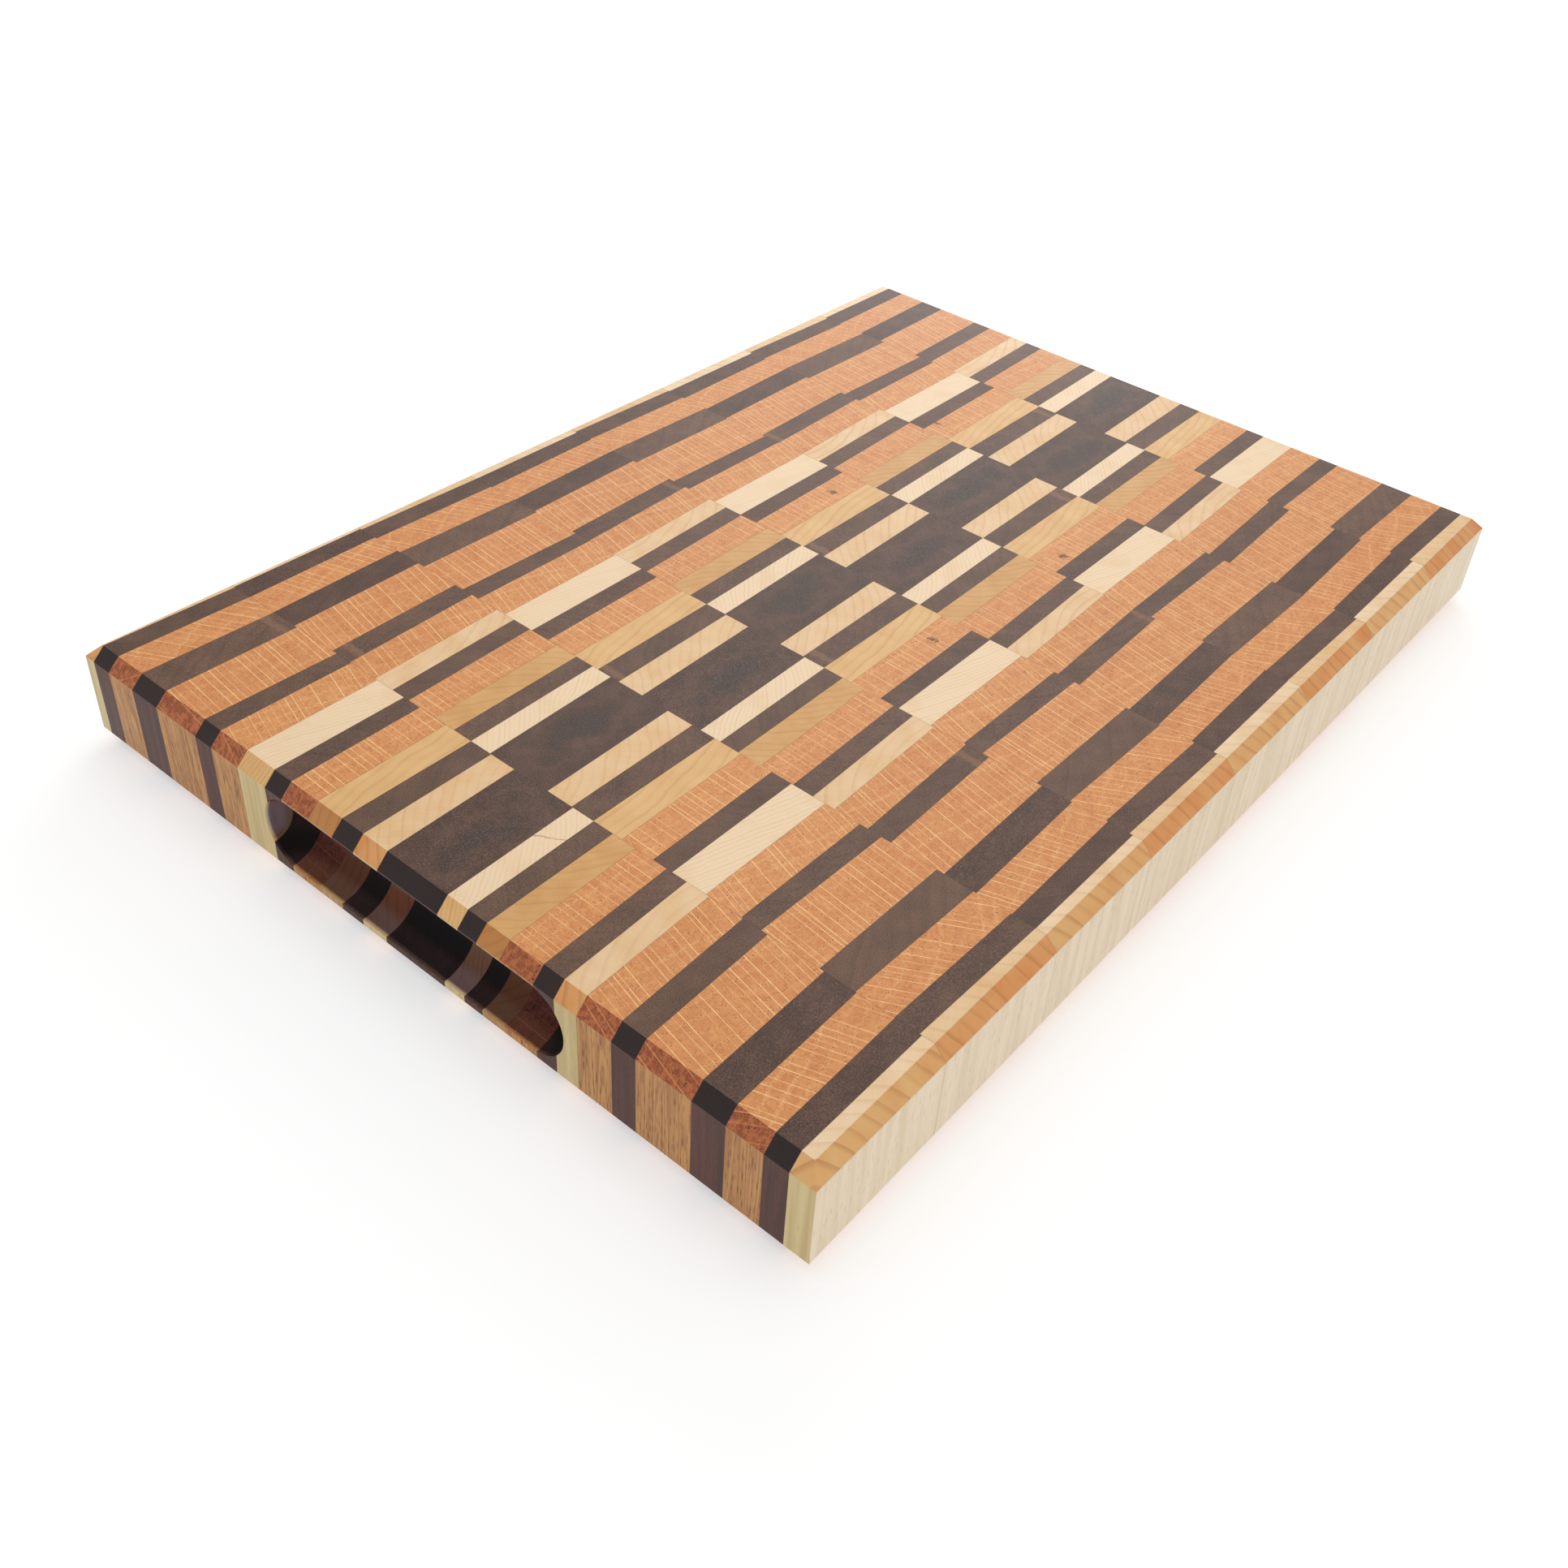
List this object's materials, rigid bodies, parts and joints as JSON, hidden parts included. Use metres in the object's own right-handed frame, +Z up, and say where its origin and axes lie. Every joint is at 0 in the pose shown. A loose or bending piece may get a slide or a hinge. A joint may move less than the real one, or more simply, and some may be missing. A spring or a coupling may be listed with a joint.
{
  "type": "end-grain cutting board",
  "caption": "Thick rectangular end-grain cutting board of striped hardwood blocks, with chamfered edges and a finger groove in each end.",
  "frame": {"origin": "middle of the underside, on the surface that the board lies on", "axes": "+Z up through the thickness, +Y along the board's length towards its far end, +X across its width to the right; the finger grooves are in the -Y and +Y ends"},
  "size_m": [0.3048, 0.4192, 0.0378],
  "materials": {
    "walnut": "sanded and oiled, satin",
    "oak": "sanded and oiled, satin",
    "maple": "sanded and oiled, satin",
    "cherry": "sanded and oiled, satin"
  },
  "bodies": {
    "root": {"cherry_band_11": "cherry", "cherry_band_17": "cherry", "cherry_block_11_row_1": "cherry", "cherry_block_11_row_8": "cherry", "cherry_block_17_row_1": "cherry", "cherry_block_17_row_8": "cherry", "maple_band_1": "maple", "maple_band_20": "maple", "maple_band_27": "maple", "maple_band_8": "maple", "maple_block_13_row_1": "maple", "maple_block_13_row_2": "maple", "maple_block_13_row_3": "maple", "maple_block_13_row_4": "maple", "maple_block_13_row_5": "maple", "maple_block_13_row_6": "maple", "maple_block_13_row_7": "maple", "maple_block_13_row_8": "maple", "maple_block_15_row_1": "maple", "maple_block_15_row_2": "maple", "maple_block_15_row_3": "maple", "maple_block_15_row_4": "maple", "maple_block_15_row_5": "maple", "maple_block_15_row_6": "maple", "maple_block_15_row_7": "maple", "maple_block_15_row_8": "maple", "oak_band_10": "oak", "oak_band_18": "oak", "oak_band_21": "oak", "oak_band_23": "oak", "oak_band_25": "oak", "oak_band_3": "oak", "oak_band_5": "oak", "oak_band_7": "oak", "oak_block_10_row_1": "oak", "oak_block_10_row_8": "oak", "oak_block_18_row_1": "oak", "oak_block_18_row_8": "oak", "walnut_band_14": "walnut", "walnut_band_19": "walnut", "walnut_band_2": "walnut", "walnut_band_22": "walnut", "walnut_band_24": "walnut", "walnut_band_26": "walnut", "walnut_band_4": "walnut", "walnut_band_6": "walnut", "walnut_band_9": "walnut", "walnut_block_12_row_1": "walnut", "walnut_block_12_row_2": "walnut", "walnut_block_12_row_4": "walnut", "walnut_block_12_row_6": "walnut", "walnut_block_12_row_8": "walnut", "walnut_block_14_row_1": "walnut", "walnut_block_14_row_8": "walnut", "walnut_block_16_row_1": "walnut", "walnut_block_16_row_3": "walnut", "walnut_block_16_row_5": "walnut", "walnut_block_16_row_7": "walnut", "walnut_block_16_row_8": "walnut"}
  },
  "joints": []
}
